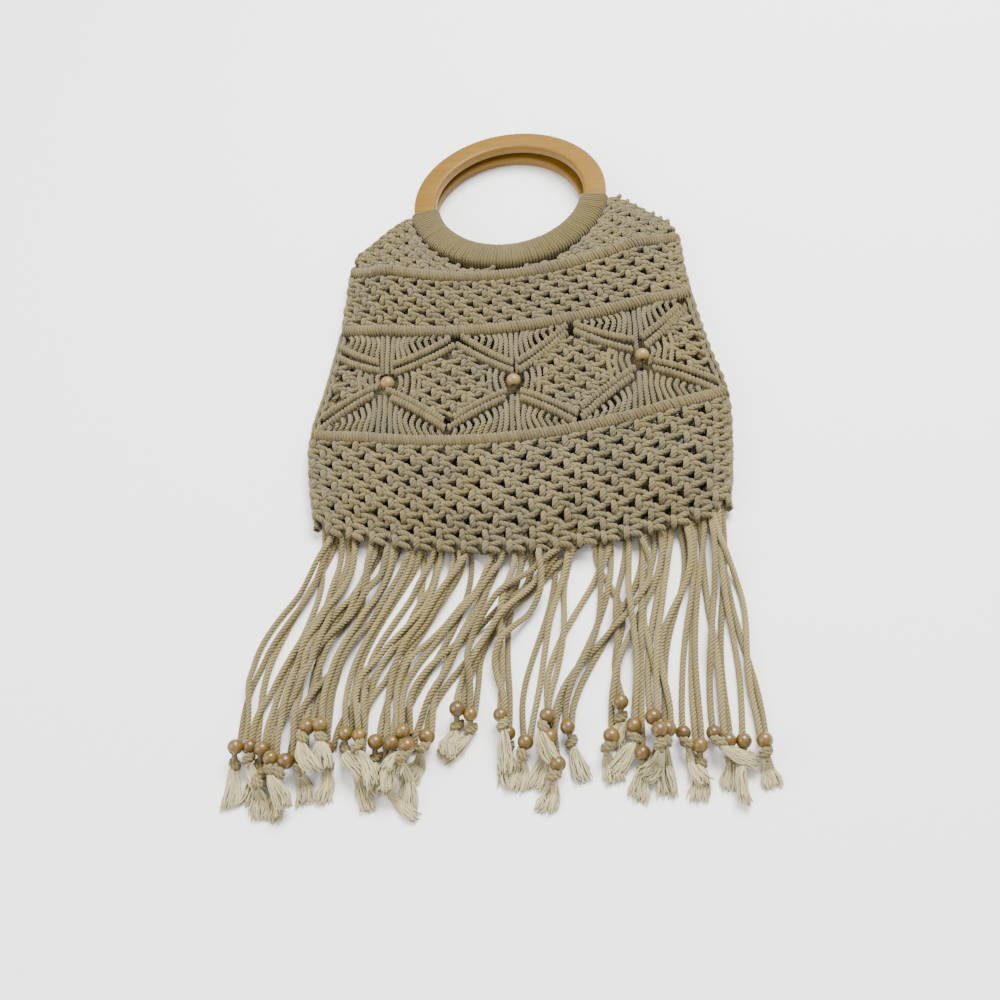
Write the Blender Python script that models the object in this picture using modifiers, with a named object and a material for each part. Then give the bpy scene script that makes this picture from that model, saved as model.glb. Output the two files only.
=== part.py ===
# Macrame bag that lies on its back: two wooden ring handles, their cord wraps, a hollow
# knotted pouch, three star beads and a beaded fringe.
# Metres, +Z up, +X to the right, +Y from the fringe towards the handles.

from collections import namedtuple
import math

import bmesh
import bpy
from mathutils import Vector

# Handle rings
RING_RADIUS = 0.076
RING_BAND = 0.0175
RING_THICKNESS = 0.008
RING_EDGE = 0.0018
RING_STEPS = 36
RING_GAP = 0.004
REAR_RING_SHIFT = -0.0036

# Cord wraps on the rings
WRAP_WALL = 0.0026
WRAP_STEPS = 16
MOUTH_GAP = 0.006

# Pouch
POUCH_WIDTH = 0.280
POUCH_DEPTH = 0.2224
FRONT_WALL = 0.0055
BACK_WALL = 0.005
BACK_SHOULDER = 0.004
FRONT_SHOULDER = 0.0013
SIDE_SEAM_HEIGHT = 0.009
RIDGE_WIDTH = 0.0062
RIDGE_RISE = 0.0024
RIB_RISE = 0.0022
CORD_GROUPS = 18
BACK_COLUMNS = 20

# Gaps of the net and the star band
NET_GAP_WIDTH = 0.0048
NET_GAP_HEIGHT = 0.0056
STAR_GAP_WIDTH = 0.0074
STAR_GAP_HEIGHT = 0.0044

# Star beads
STAR_COUNT = 3
STAR_BEAD = 0.0106
STAR_BEAD_LENGTH = 0.0096
STAR_BEAD_BORE = 0.0036
STAR_BEAD_STEPS = 12
STAR_BEAD_ARCS = 6

# Fringe
FRINGE_REACH = 0.132
FRINGE_HEAD_DEPTH = 0.0055
FRINGE_HEAD_HEIGHT = 0.0105
FRINGE_INSET = 0.003
LOCK_WIDTH = 0.0054
LOCK_HEIGHT = 0.0044
LOCK_BEAD = 0.0088
TUFT_LENGTH = 0.032
TUFT_WIDTH = 0.0092
LOCKS_PER_GROUP = 2
LEFT_SHEAF = 20

# Clearances
CLEARANCE = 0.0003
NET_CLEARANCE = 0.0006
FLOOR_CLEARANCE = 0.0001

# Where the pouch's cross rows lie, from the mouth to the fringe.
# down: share of POUCH_DEPTH on the middle line; half, sag, lean: shares of POUCH_WIDTH;
# puff: height of the front's inner face above the side seam, as a share of the mouth's.
Row = namedtuple("Row", "down half sag lean puff")
ROWS = (
    Row(0.020, 0.455, 0.122, 0.005, 0.95),
    Row(0.115, 0.458, 0.096, 0.008, 0.66),
    Row(0.212, 0.468, 0.073, 0.010, 0.40),
    Row(0.455, 0.498, 0.079, 0.011, 0.34),
    Row(0.646, 0.528, 0.086, 0.012, 0.34),
    Row(0.830, 0.521, 0.086, -0.002, 0.34),
    Row(1.000, 0.502, 0.085, -0.016, 0.32),
)
RIDGE_DOWN = (ROWS[0].down, ROWS[2].down, ROWS[4].down)

# The star band: depth of the beads' row, and how far a bead sits up through the wall
STAR_DOWN = 0.430
BEAD_SEAT = 0.85

# Net rows between the ridges, and the rows among them that carry gaps
SHOULDER_ROWS = 2
UPPER_ROWS = 5
STAR_ROWS = 6
LOWER_ROWS = 8
UPPER_GAP_ROWS = (1, 3)
LOWER_GAP_ROWS = (1, 3, 5, 7)

# The shoulder's corner, as shares of POUCH_WIDTH and of its drop below the ring's centre
SHOULDER_HALF = 0.436
SHOULDER_DROP = 0.136
SHOULDER_START = 0.60
BULGE_END = 0.75
FLAT_SHARE = 0.70
SIDE_WALL_SHARE = 0.86
CLOSING_SHARE = 0.10

# Where the two sheaves of the fringe end. x: share of POUCH_WIDTH; y: share of FRINGE_REACH
# below the head's middle, which STAGGER lengthens or shortens in turn
Sheaf = namedtuple("Sheaf", "first_x last_x first_y last_y")
SHEAVES = (
    Sheaf(-0.612, -0.112, 0.985, 0.905),
    Sheaf(-0.043, 0.500, 0.945, 1.035),
)
STAGGER = 0.055
SWEEP = 1.5
LOCK_DROP = 0.3
LOCK_SHOULDER = 0.55
TUFT_START = 0.6
DIRECTION_STEP = 0.02

# One lock of the fringe. along: share of the way from head to bead, or past it in beads;
# width and height: shares of the lock's, the bead's or the tuft's
Station = namedtuple("Station", "piece along width height")
STATIONS = (
    Station("lock", 0.05, 1.15, 1.35),
    Station("lock", 0.24, 1.00, 1.00),
    Station("lock", 0.62, 0.92, 0.96),
    Station("bead", -0.55, 0.42, 0.46),
    Station("bead", 0.00, 0.80, 1.00),
    Station("bead", 0.60, 0.40, 0.46),
    Station("tuft", 0.45, 0.70, 0.52),
    Station("tuft", 1.00, 1.00, 0.36),
)

# Colours, roughness and metallic value of each material
Finish = namedtuple("Finish", "name colour roughness metallic")
HONEY_WOOD = Finish("honey_wood", (0.53, 0.34, 0.15, 1.0), 0.32, 0.0)
BEAD_WOOD = Finish("bead_wood", (0.45, 0.29, 0.17, 1.0), 0.38, 0.0)
WRAP_CORD = Finish("wrap_cord", (0.29, 0.235, 0.135, 1.0), 0.9, 0.0)
NET_CORD = Finish("net_cord", (0.24, 0.20, 0.115, 1.0), 0.9, 0.0)
BACK_CORD = Finish("back_cord", (0.22, 0.185, 0.11, 1.0), 0.9, 0.0)
FRINGE_CORD = Finish("fringe_cord", (0.26, 0.215, 0.13, 1.0), 0.9, 0.0)


# Derived sizes
COLUMNS = 2 * CORD_GROUPS
COLUMN_ANGLE = 2 * math.pi / RING_STEPS
WRAP_HALF_ANGLE = COLUMN_ANGLE * WRAP_STEPS / 2
RING_MIDDLE = RING_RADIUS - RING_BAND / 2
WRAP_THICKNESS = WRAP_WALL + CLEARANCE
SLEEVE_HALF_HEIGHT = RING_THICKNESS / 2 + WRAP_THICKNESS
SLEEVE_INNER_RADIUS = RING_RADIUS - RING_BAND - WRAP_THICKNESS
NET_RADIUS = RING_RADIUS + WRAP_THICKNESS + NET_CLEARANCE
MOUTH_Y = -NET_RADIUS
RIDGE_STEP = RIDGE_WIDTH / 2 / POUCH_DEPTH

# The rear ring leans on its free end and on the ends of its wrap. The front ring lies on it,
# held open at the wraps by the mouth's gap.
WRAP_END_Y = -SLEEVE_INNER_RADIUS * math.cos(WRAP_HALF_ANGLE)
REAR_LOW = RING_THICKNESS / 2 + FLOOR_CLEARANCE
REAR_SLOPE = WRAP_THICKNESS / (RING_RADIUS - WRAP_END_Y)
FRONT_LOW = REAR_LOW + RING_THICKNESS + RING_GAP
MOUTH_SPREAD = 2 * WRAP_THICKNESS + MOUTH_GAP - RING_GAP
FRONT_SLOPE = REAR_SLOPE + MOUTH_SPREAD / (RING_RADIUS + RING_MIDDLE)


def ring_height(low, slope, y):
    return low + slope * (RING_RADIUS - y)


def clamp(value):
    return max(0.0, min(1.0, value))


def smoothstep(value):
    share = clamp(value)
    return share * share * (3 - 2 * share)


def mix(a, b, share):
    return a + (b - a) * share


def row_at(down):
    # The pouch's row at any depth, on a smooth curve through the table's rows
    last = len(ROWS) - 1
    index = max(i for i in range(last) if i == 0 or ROWS[i].down <= down)
    here, there = ROWS[index], ROWS[index + 1]
    before, after = ROWS[max(index - 1, 0)], ROWS[min(index + 2, last)]
    span = there.down - here.down
    share = (down - here.down) / span
    values = []
    for a, b, c, d in zip(before, here, there, after):
        start = (c - a) / (there.down - before.down) * span
        end = (d - b) / (after.down - here.down) * span
        values.append(
            b * (2 * share**3 - 3 * share**2 + 1)
            + start * (share**3 - 2 * share**2 + share)
            + c * (3 * share**2 - 2 * share**3)
            + end * (share**3 - share**2)
        )
    return Row(*values)


def row_plan(t, down):
    # Plan position of column t (-1 to 1) on the row at this depth
    row = row_at(down)
    x = row.half * POUCH_WIDTH * t
    sag = POUCH_WIDTH * (row.sag * t * t + row.lean * t)
    return x, MOUTH_Y - down * POUCH_DEPTH + sag


def mouth_plan(t, columns, centre_x, spread):
    # Plan position of column t on the mouth's edge: round the wrap, then out along the shoulder.
    # The arc's corners stand out so that its straight stretches clear the wrap.
    side = math.copysign(1.0, t)
    reach = abs(t) / SHOULDER_START
    radius = NET_RADIUS / math.cos(WRAP_HALF_ANGLE / SHOULDER_START / columns)
    if reach <= 1:
        angle = reach * WRAP_HALF_ANGLE
        return centre_x + side * radius * math.sin(angle), -radius * math.cos(angle)
    share = (abs(t) - SHOULDER_START) / (1 - SHOULDER_START)
    start_x = centre_x + side * radius * math.sin(WRAP_HALF_ANGLE)
    start_y = -radius * math.cos(WRAP_HALF_ANGLE)
    corner_x = side * SHOULDER_HALF * POUCH_WIDTH
    corner_y = -SHOULDER_DROP * POUCH_WIDTH
    bulge = spread * math.sin(math.pi * min(share, BULGE_END))
    return mix(start_x, corner_x, share) + side * bulge / 2, mix(start_y, corner_y, share) + bulge


SEAM_FRONT = SIDE_SEAM_HEIGHT + CLEARANCE / 2
SEAM_BACK = SIDE_SEAM_HEIGHT - CLEARANCE / 2
MOUTH_RISE = ring_height(FRONT_LOW, FRONT_SLOPE, -RING_MIDDLE) - FRONT_WALL / 2 - SEAM_FRONT


def edge_share(t, down):
    # 0 in the pouch's flat middle, 1 at its side seams and its bottom
    side = smoothstep((abs(t) - FLAT_SHARE) / (1 - FLAT_SHARE))
    bottom = smoothstep((down - 1 + CLOSING_SHARE) / CLOSING_SHARE)
    return 1 - (1 - side) * (1 - bottom)


def front_point(t, down):
    x, y = row_plan(t, down)
    height = row_at(down).puff * MOUTH_RISE * (1 - edge_share(t, down))
    return Vector((x, y, SEAM_FRONT + height))


def front_mouth_point(t):
    x, y = mouth_plan(t, COLUMNS, 0.0, FRONT_SHOULDER)
    height = ring_height(FRONT_LOW, FRONT_SLOPE, y) - FRONT_WALL / 2
    corner = smoothstep((abs(t) - SHOULDER_START) / (1 - SHOULDER_START))
    return Vector((x, y, mix(height, SEAM_FRONT + MOUTH_GAP / 2, corner)))


def back_point(t, down):
    x, y = row_plan(t, down)
    return Vector((x, y, mix(BACK_WALL, SEAM_BACK, edge_share(t, down))))


def back_mouth_point(t):
    x, y = mouth_plan(t, BACK_COLUMNS, REAR_RING_SHIFT, BACK_SHOULDER)
    height = ring_height(REAR_LOW, REAR_SLOPE, y) + BACK_WALL / 2
    corner = smoothstep((abs(t) - SHOULDER_START) / (1 - SHOULDER_START))
    return Vector((x, y, mix(height, SEAM_BACK - MOUTH_GAP / 2 + CLEARANCE, corner)))


def new_material(finish):
    material = bpy.data.materials.new(finish.name)
    material.use_nodes = True
    shader = material.node_tree.nodes["Principled BSDF"]
    shader.inputs["Base Color"].default_value = finish.colour
    shader.inputs["Roughness"].default_value = finish.roughness
    shader.inputs["Metallic"].default_value = finish.metallic
    material.diffuse_color = finish.colour
    return material


def new_object(name, mesh, finish, parent):
    part = bpy.data.objects.new(name, mesh)
    part.parent = parent
    mesh.materials.append(new_material(finish))
    bpy.data.collections["macrame_bag"].objects.link(part)
    return part


def new_empty(name, parent=None):
    empty = bpy.data.objects.new(name, None)
    empty.empty_display_size = 0.02
    empty.parent = parent
    bpy.data.collections["macrame_bag"].objects.link(empty)
    return empty


def loop_mesh(name, points):
    # A closed loop of edges in the XZ plane, for a Screw modifier
    mesh = bpy.data.meshes.new(name)
    count = len(points)
    mesh.from_pydata([(x, 0, z) for x, z in points], [(i, (i + 1) % count) for i in range(count)], [])
    return mesh


def chamfered_section(middle, half_width, half_height, edge):
    # Down the outer side, along the bottom, up the inner side
    near, far = middle - half_width, middle + half_width
    top = half_height
    return (
        (far - edge, top), (far, top - edge), (far, edge - top), (far - edge, -top),
        (near + edge, -top), (near, edge - top), (near, top - edge), (near + edge, top),
    )


def add_screw(part, angle, steps):
    screw = part.modifiers.new("turn", "SCREW")
    screw.axis = "Z"
    screw.angle = angle
    screw.steps = steps
    screw.render_steps = steps
    screw.use_merge_vertices = True
    screw.merge_threshold = 0.00005
    screw.use_smooth_shade = True
    return screw


def add_ring(name, handle):
    section = chamfered_section(RING_MIDDLE, RING_BAND / 2, RING_THICKNESS / 2, RING_EDGE)
    ring = new_object(name, loop_mesh(name, section), HONEY_WOOD, handle)
    add_screw(ring, 2 * math.pi, RING_STEPS)
    return ring


def add_wrap(name, handle):
    # An open sleeve surface round the ring's lower part, thickened outwards
    half_width = RING_BAND / 2 + CLEARANCE
    half_height = RING_THICKNESS / 2 + CLEARANCE
    section = chamfered_section(RING_MIDDLE, half_width, half_height, RING_EDGE)
    wrap = new_object(name, loop_mesh(name, section), WRAP_CORD, handle)
    wrap.rotation_euler.z = -math.pi / 2 - WRAP_HALF_ANGLE
    add_screw(wrap, 2 * WRAP_HALF_ANGLE, WRAP_STEPS)
    shell = wrap.modifiers.new("wall", "SOLIDIFY")
    shell.thickness = WRAP_WALL
    shell.offset = 1.0
    shell.use_even_offset = True
    return wrap


def add_handle(name, low, slope, shift, parent):
    handle = new_empty("handle_" + name, parent)
    handle.location = (shift, 0, ring_height(low, slope, 0))
    handle.rotation_euler.x = -math.atan(slope)
    add_ring("ring_" + name, handle)
    add_wrap("wrap_" + name, handle)
    return handle


def column_share(column, columns):
    return 2 * column / columns - 1


def spaced(start, end, count):
    return [mix(start, end, i / count) for i in range(count + 1)]


def front_depths():
    # Depth of every grid row of the front below the shoulder, and where each band starts
    bands = {}
    depths = []
    edges = [(ridge - RIDGE_STEP, ridge, ridge + RIDGE_STEP) for ridge in RIDGE_DOWN]
    bands["ridges"] = []
    for index, edge in enumerate(edges):
        bands["ridges"].append(len(depths) + 1)
        depths += edge
        if index == 0:
            bands["upper"] = len(depths) - 1
            depths += spaced(edge[2], edges[1][0], UPPER_ROWS)[1:-1]
        elif index == 1:
            bands["star"] = len(depths) - 1 + STAR_ROWS
            depths += spaced(edge[2], STAR_DOWN, STAR_ROWS)[1:]
            depths += spaced(STAR_DOWN, edges[2][0], STAR_ROWS)[1:-1]
        else:
            bands["lower"] = len(depths) - 1
            depths += spaced(edge[2], 1.0, LOWER_ROWS)[1:]
    return depths, bands


def star_columns():
    half = COLUMNS // (2 * STAR_COUNT)
    return [half + 2 * half * i for i in range(STAR_COUNT)], half


def shrink_block(grid, row, column, rows, columns, width, height):
    # Draws a block of cells together round its centre, to the size of one gap
    block = [(r, c) for r in range(row, row + rows + 1) for c in range(column, column + columns + 1)]
    centre = sum((grid[key] for key in block), Vector()) / len(block)
    span_x = grid[(row, column + columns)].x - grid[(row, column)].x
    span_y = grid[(row, column)].y - grid[(row + rows, column)].y
    for key in block:
        offset = grid[key] - centre
        grid[key].x = centre.x + offset.x * width / span_x
        grid[key].y = centre.y + offset.y * height / span_y
    return {(r, c) for r in range(row, row + rows) for c in range(column, column + columns)}


def round_block(grid, row, column, radius):
    # Sets the eight vertices round a star's centre on a circle
    centre = grid[(row, column)].copy()
    for down in (-1, 0, 1):
        for across in (-1, 0, 1):
            if down or across:
                ray = Vector((across, -down)).normalized() * radius
                grid[(row + down, column + across)].x = centre.x + ray.x
                grid[(row + down, column + across)].y = centre.y + ray.y
    return {(r, c) for r in (row - 1, row) for c in (column - 1, column)}


def grid_faces(mesh, grid, rows, columns, removed):
    vertices = {key: mesh.verts.new(point) for key, point in grid.items()}
    for row in range(rows):
        for column in range(columns):
            if (row, column) not in removed:
                corners = ((row, column), (row + 1, column), (row + 1, column + 1), (row, column + 1))
                mesh.faces.new([vertices[key] for key in corners])
    return vertices


def thicken(mesh, vertices, walls, direction):
    # Copies the whole surface and moves the copy up or down by each vertex's own wall
    joined = {key: vertex for key, vertex in vertices.items() if vertex.link_faces}
    wall_at = {vertex.co.to_tuple(7): walls[key] for key, vertex in joined.items()}
    loose = [vertex for key, vertex in vertices.items() if key not in joined]
    bmesh.ops.delete(mesh, geom=loose, context="VERTS")
    copied = bmesh.ops.extrude_face_region(mesh, geom=mesh.faces[:], use_keep_orig=True)
    for item in copied["geom"]:
        if isinstance(item, bmesh.types.BMVert):
            item.co.z += direction * wall_at[item.co.to_tuple(7)]
    bmesh.ops.recalc_face_normals(mesh, faces=mesh.faces[:])


def front_grid():
    depths, bands = front_depths()
    first = SHOULDER_ROWS
    grid, walls = {}, {}
    for column in range(COLUMNS + 1):
        t = column_share(column, COLUMNS)
        mouth = front_mouth_point(t)
        ridge = front_point(t, depths[0])
        side_share = smoothstep((abs(t) - FLAT_SHARE) / (1 - FLAT_SHARE))
        wall = FRONT_WALL * mix(1.0, SIDE_WALL_SHARE, side_share)
        for row in range(first):
            grid[(row, column)] = mouth.lerp(ridge, row / first)
            walls[(row, column)] = wall
        for row, down in enumerate(depths):
            grid[(first + row, column)] = front_point(t, down)
            walls[(first + row, column)] = wall
        for row in bands["ridges"]:
            walls[(first + row, column)] = wall + RIDGE_RISE
    return grid, walls, bands, len(depths) - 1 + first


def add_front_panel(parent):
    grid, walls, bands, rows = front_grid()
    removed = set()
    for band, gap_rows in (("upper", UPPER_GAP_ROWS), ("lower", LOWER_GAP_ROWS)):
        for order, gap_row in enumerate(gap_rows):
            row = SHOULDER_ROWS + bands[band] + gap_row
            for column in range(1 + order % 2, COLUMNS - 1, 2):
                removed |= shrink_block(grid, row, column, 1, 1, NET_GAP_WIDTH, NET_GAP_HEIGHT)
    creases = []
    star_row = SHOULDER_ROWS + bands["star"]
    centres, reach = star_columns()
    for centre in centres:
        seat = (STAR_BEAD / 2 + CLEARANCE) / math.cos(math.pi / 8)
        removed |= round_block(grid, star_row, centre, seat)
        row = star_row + 2
        removed |= shrink_block(grid, row, centre - 1, 1, 2, STAR_GAP_WIDTH, STAR_GAP_HEIGHT)
        for down in (-1, 1):
            for across in (-1, 1):
                arm = [(star_row + down * k, centre + across * k) for k in range(1, reach + 1)]
                for shift in (-1, 0, 1):
                    beside = [(r, c + shift) for r, c in arm if (r, c + shift) in grid]
                    creases += list(zip(beside, beside[1:]))
                for key in arm[:-1]:
                    walls[key] += RIB_RISE
    mesh = bmesh.new()
    vertices = grid_faces(mesh, grid, rows, COLUMNS, removed)
    for a, b in creases:
        shared = set(vertices[a].link_faces) & set(vertices[b].link_faces)
        for face in shared:
            if len(face.verts) == 4:
                bmesh.utils.face_split(face, vertices[a], vertices[b])
    thicken(mesh, vertices, walls, 1)
    return finish_panel("front_panel", mesh, NET_CORD, parent)


def back_depths():
    depths = [RIDGE_DOWN[0], ROWS[1].down, RIDGE_DOWN[1]]
    depths += spaced(RIDGE_DOWN[1], RIDGE_DOWN[2], 3)[1:]
    depths += spaced(RIDGE_DOWN[2], 1 - CLOSING_SHARE, 2)[1:]
    depths += [1 - CLOSING_SHARE / 2, 1.0]
    return depths


def add_back_panel(parent):
    depths = back_depths()
    grid, walls = {}, {}
    for column in range(BACK_COLUMNS + 1):
        t = column_share(column, BACK_COLUMNS)
        grid[(0, column)] = back_mouth_point(t)
        for row, down in enumerate(depths, 1):
            grid[(row, column)] = back_point(t, down)
        for row in range(len(depths) + 1):
            walls[(row, column)] = BACK_WALL
    mesh = bmesh.new()
    vertices = grid_faces(mesh, grid, len(depths), BACK_COLUMNS, set())
    thicken(mesh, vertices, walls, -1)
    return finish_panel("back_panel", mesh, BACK_CORD, parent)


def finish_panel(name, mesh, finish, parent):
    data = bpy.data.meshes.new(name)
    mesh.to_mesh(data)
    mesh.free()
    return new_object(name, data, finish, parent)


def add_star_beads(parent):
    centres, reach = star_columns()
    names = ("left", "middle", "right")
    bore = STAR_BEAD_BORE / 2
    tip = math.acos(bore / (STAR_BEAD / 2))
    stretch = STAR_BEAD_LENGTH / 2 / (STAR_BEAD / 2 * math.sin(tip))
    arc = spaced(tip, -tip, STAR_BEAD_ARCS)
    profile = [(STAR_BEAD / 2 * math.cos(a), stretch * STAR_BEAD / 2 * math.sin(a)) for a in arc]
    for name, centre in zip(names, centres):
        node = "star_bead_" + name
        bead = new_object(node, loop_mesh(node, profile), BEAD_WOOD, parent)
        seat = front_point(column_share(centre, COLUMNS), STAR_DOWN)
        bead.location = seat + Vector((0, 0, FRONT_WALL * BEAD_SEAT))
        bead.rotation_euler.x = math.pi / 2
        add_screw(bead, 2 * math.pi, STAR_BEAD_STEPS)


def head_edge(share, depth):
    # A point of the fringe head's plan, from left to right, just below the pouch's bottom row
    t = mix(-1, 1, share) * (1 - 2 * FRINGE_INSET / POUCH_WIDTH)
    x, y = row_plan(t, 1.0)
    return Vector((x, y - NET_CLEARANCE - depth, 0))


def lock_end(index, count):
    # Where a lock's bead lies: the two sheaves part near the middle
    left = index < LEFT_SHEAF
    sheaf = SHEAVES[0] if left else SHEAVES[1]
    first, last = (0, LEFT_SHEAF - 1) if left else (LEFT_SHEAF, count - 1)
    share = (index - first) / (last - first)
    stagger = STAGGER if index % 2 else -STAGGER
    reach = mix(sheaf.first_y, sheaf.last_y, share) + stagger
    x = mix(sheaf.first_x, sheaf.last_x, share) * POUCH_WIDTH
    return Vector((x, head_edge(0.5, FRINGE_HEAD_DEPTH).y - reach * FRINGE_REACH, 0))


def lock_point(root, end, share):
    # Straight out of the head, then in a sweep to the bead
    bend = share**SWEEP * (SWEEP - (SWEEP - 1) * share)
    return Vector((mix(root.x, end.x, bend), mix(root.y, end.y, share), 0))


def station_frame(root, end, station):
    # Plan position, direction, half width, half height and rise towards the head at a station
    if station.piece == "lock":
        share = station.along
        centre = lock_point(root, end, share)
        before = lock_point(root, end, share - DIRECTION_STEP)
        after = lock_point(root, end, share + DIRECTION_STEP)
        rise = 1 - smoothstep(share / LOCK_DROP)
        return centre, (after - before).normalized(), LOCK_WIDTH / 2, LOCK_HEIGHT / 2, rise
    ahead = (end - lock_point(root, end, 1 - 2 * DIRECTION_STEP)).normalized()
    if station.piece == "bead":
        centre = end + ahead * station.along * LOCK_BEAD
        return centre, ahead, LOCK_BEAD / 2, LOCK_BEAD / 2, 0.0
    centre = end + ahead * (LOCK_BEAD * TUFT_START + TUFT_LENGTH * station.along)
    return centre, ahead, TUFT_WIDTH / 2, TUFT_WIDTH / 2, 0.0


def add_lock(mesh, face, root, end, head_middle):
    # Draws one face of the head out into a lock, a bead and a tuft. Its six corners keep
    # their places: left, middle or right, above or below
    middle = face.calc_center_median()
    half = max(abs(vertex.co.x - middle.x) for vertex in face.verts)
    corners = []
    for station in STATIONS:
        face = bmesh.ops.extrude_discrete_faces(mesh, faces=[face])["faces"][0]
        if not corners:
            for vertex in face.verts:
                across = round((vertex.co.x - middle.x) / half)
                corners.append((across, math.copysign(1, vertex.co.z - middle.z)))
        centre, ahead, width, height, rise = station_frame(root, end, station)
        width *= station.width
        height *= station.height
        side = Vector((-ahead.y, ahead.x, 0))
        level = mix(height + FLOOR_CLEARANCE, head_middle, rise)
        for vertex, (across, up) in zip(face.verts, corners):
            up *= height * (LOCK_SHOULDER if across else 1.0)
            vertex.co = centre + side * across * width + Vector((0, 0, level + up))


def add_fringe(parent):
    locks = CORD_GROUPS * LOCKS_PER_GROUP
    bottom = SIDE_SEAM_HEIGHT - FRINGE_HEAD_HEIGHT / 2
    mesh = bmesh.new()
    upper = [mesh.verts.new(head_edge(i / CORD_GROUPS, 0.0)) for i in range(CORD_GROUPS + 1)]
    lower = [mesh.verts.new(head_edge(i / (2 * locks), FRINGE_HEAD_DEPTH)) for i in range(2 * locks + 1)]
    plan = mesh.faces.new(lower + upper[::-1])
    bmesh.ops.extrude_face_region(mesh, geom=[plan], use_keep_orig=True)
    for vertex in mesh.verts:
        vertex.co.z = bottom
    for vertex in [v for v in mesh.verts if v not in upper and v not in lower]:
        vertex.co.z = bottom + FRINGE_HEAD_HEIGHT
    bmesh.ops.recalc_face_normals(mesh, faces=mesh.faces[:])
    middle_edges = [
        edge for vertex in lower[1::2] for edge in vertex.link_edges
        if abs(edge.verts[0].co.z - edge.verts[1].co.z) > FRINGE_HEAD_HEIGHT / 2
    ]
    bmesh.ops.dissolve_edges(mesh, edges=middle_edges, use_verts=False)
    roots = []
    for index in range(locks):
        vertex = lower[2 * index + 1]
        face = next(f for f in vertex.link_faces if len(f.verts) == 6)
        roots.append(face)
    for index, face in enumerate(roots):
        root = head_edge((index + 0.5) / locks, FRINGE_HEAD_DEPTH)
        add_lock(mesh, face, root, lock_end(index, locks), SIDE_SEAM_HEIGHT)
    return finish_panel("fringe", mesh, FRINGE_CORD, parent)


def smooth_by_angle(collection):
    for part in collection.objects:
        if part.type == "MESH":
            part.data.shade_smooth()
            part.data.set_sharp_from_angle(angle=math.radians(40))


def whole_box(collection):
    bpy.context.view_layer.update()
    graph = bpy.context.evaluated_depsgraph_get()
    corners = []
    for part in collection.objects:
        if part.type == "MESH":
            shown = part.evaluated_get(graph)
            corners += [shown.matrix_world @ vertex.co for vertex in shown.data.vertices]
    low = Vector([min(corner[axis] for corner in corners) for axis in range(3)])
    high = Vector([max(corner[axis] for corner in corners) for axis in range(3)])
    return low, high


def main():
    for old in list(bpy.data.objects):
        bpy.data.objects.remove(old, do_unlink=True)
    collection = bpy.data.collections.new("macrame_bag")
    bpy.context.scene.collection.children.link(collection)
    bag = new_empty("bag")
    add_handle("rear", REAR_LOW, REAR_SLOPE, REAR_RING_SHIFT, bag)
    add_handle("front", FRONT_LOW, FRONT_SLOPE, 0.0, bag)
    add_front_panel(bag)
    add_back_panel(bag)
    add_star_beads(bag)
    add_fringe(bag)
    smooth_by_angle(collection)
    low, high = whole_box(collection)
    bag.location = (-(low.x + high.x) / 2, -(low.y + high.y) / 2, -low.z)
    bpy.context.view_layer.update()


main()
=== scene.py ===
import math
import bpy
import numpy as np
from mathutils import Matrix, Vector


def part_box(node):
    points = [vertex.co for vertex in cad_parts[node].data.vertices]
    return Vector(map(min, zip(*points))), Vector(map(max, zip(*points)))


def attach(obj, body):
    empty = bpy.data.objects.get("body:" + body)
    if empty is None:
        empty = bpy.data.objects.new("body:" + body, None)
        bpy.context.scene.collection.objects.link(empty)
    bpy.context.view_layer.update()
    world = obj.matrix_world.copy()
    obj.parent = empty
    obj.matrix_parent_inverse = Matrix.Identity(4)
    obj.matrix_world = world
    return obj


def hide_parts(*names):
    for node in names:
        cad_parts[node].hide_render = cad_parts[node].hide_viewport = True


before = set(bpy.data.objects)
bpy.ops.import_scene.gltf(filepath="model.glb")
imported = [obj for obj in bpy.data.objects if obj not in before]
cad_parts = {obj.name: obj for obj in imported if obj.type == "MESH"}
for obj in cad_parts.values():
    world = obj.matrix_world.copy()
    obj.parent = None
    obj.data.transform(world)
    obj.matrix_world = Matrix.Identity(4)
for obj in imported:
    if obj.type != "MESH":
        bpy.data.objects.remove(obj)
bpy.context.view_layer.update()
print("stage: frame loaded")

mm = 0.001
ringLow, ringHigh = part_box("ring_front")
origin = np.array([(ringLow.x + ringHigh.x) / 2 / mm, (ringLow.y + ringHigh.y) / 2 / mm, 0.0])
rng = np.random.default_rng(17)

# The pouch's cross rows, from mouth to fringe: down, half, sag, lean, puff
rowTable = np.array([
    (0.020, 0.455, 0.122, 0.005, 0.95),
    (0.115, 0.458, 0.096, 0.008, 0.66),
    (0.212, 0.468, 0.073, 0.010, 0.40),
    (0.455, 0.498, 0.079, 0.011, 0.34),
    (0.646, 0.528, 0.086, 0.012, 0.34),
    (0.830, 0.521, 0.086, -0.002, 0.34),
    (1.000, 0.502, 0.085, -0.016, 0.32),
])
pouch = {
    "width": 280.0,
    "depth": 222.4,
    "mouthY": -79.5,
    "frontWall": 5.5,
    "backWall": 5.0,
    "seam": 9.0,
    "mouthRise": 16.85,
    "groups": 18,
    "ridges": (0.020, 0.212, 0.646),
    "shoulderHalf": 0.436,
    "shoulderDrop": 0.136,
    "shoulderStart": 0.60,
    "wrapAngle": math.radians(80),
    "backShift": -3.6,
}


def smoothstep(value):
    share = np.clip(value, 0, 1)
    return share * share * (3 - 2 * share)


def mix(a, b, share):
    return a + (b - a) * share


def unit(v):
    return v / np.maximum(np.linalg.norm(v, axis=-1, keepdims=True), 1e-9)


def stack(x, y, z):
    return np.stack(np.broadcast_arrays(x, y, z), axis=-1)


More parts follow.
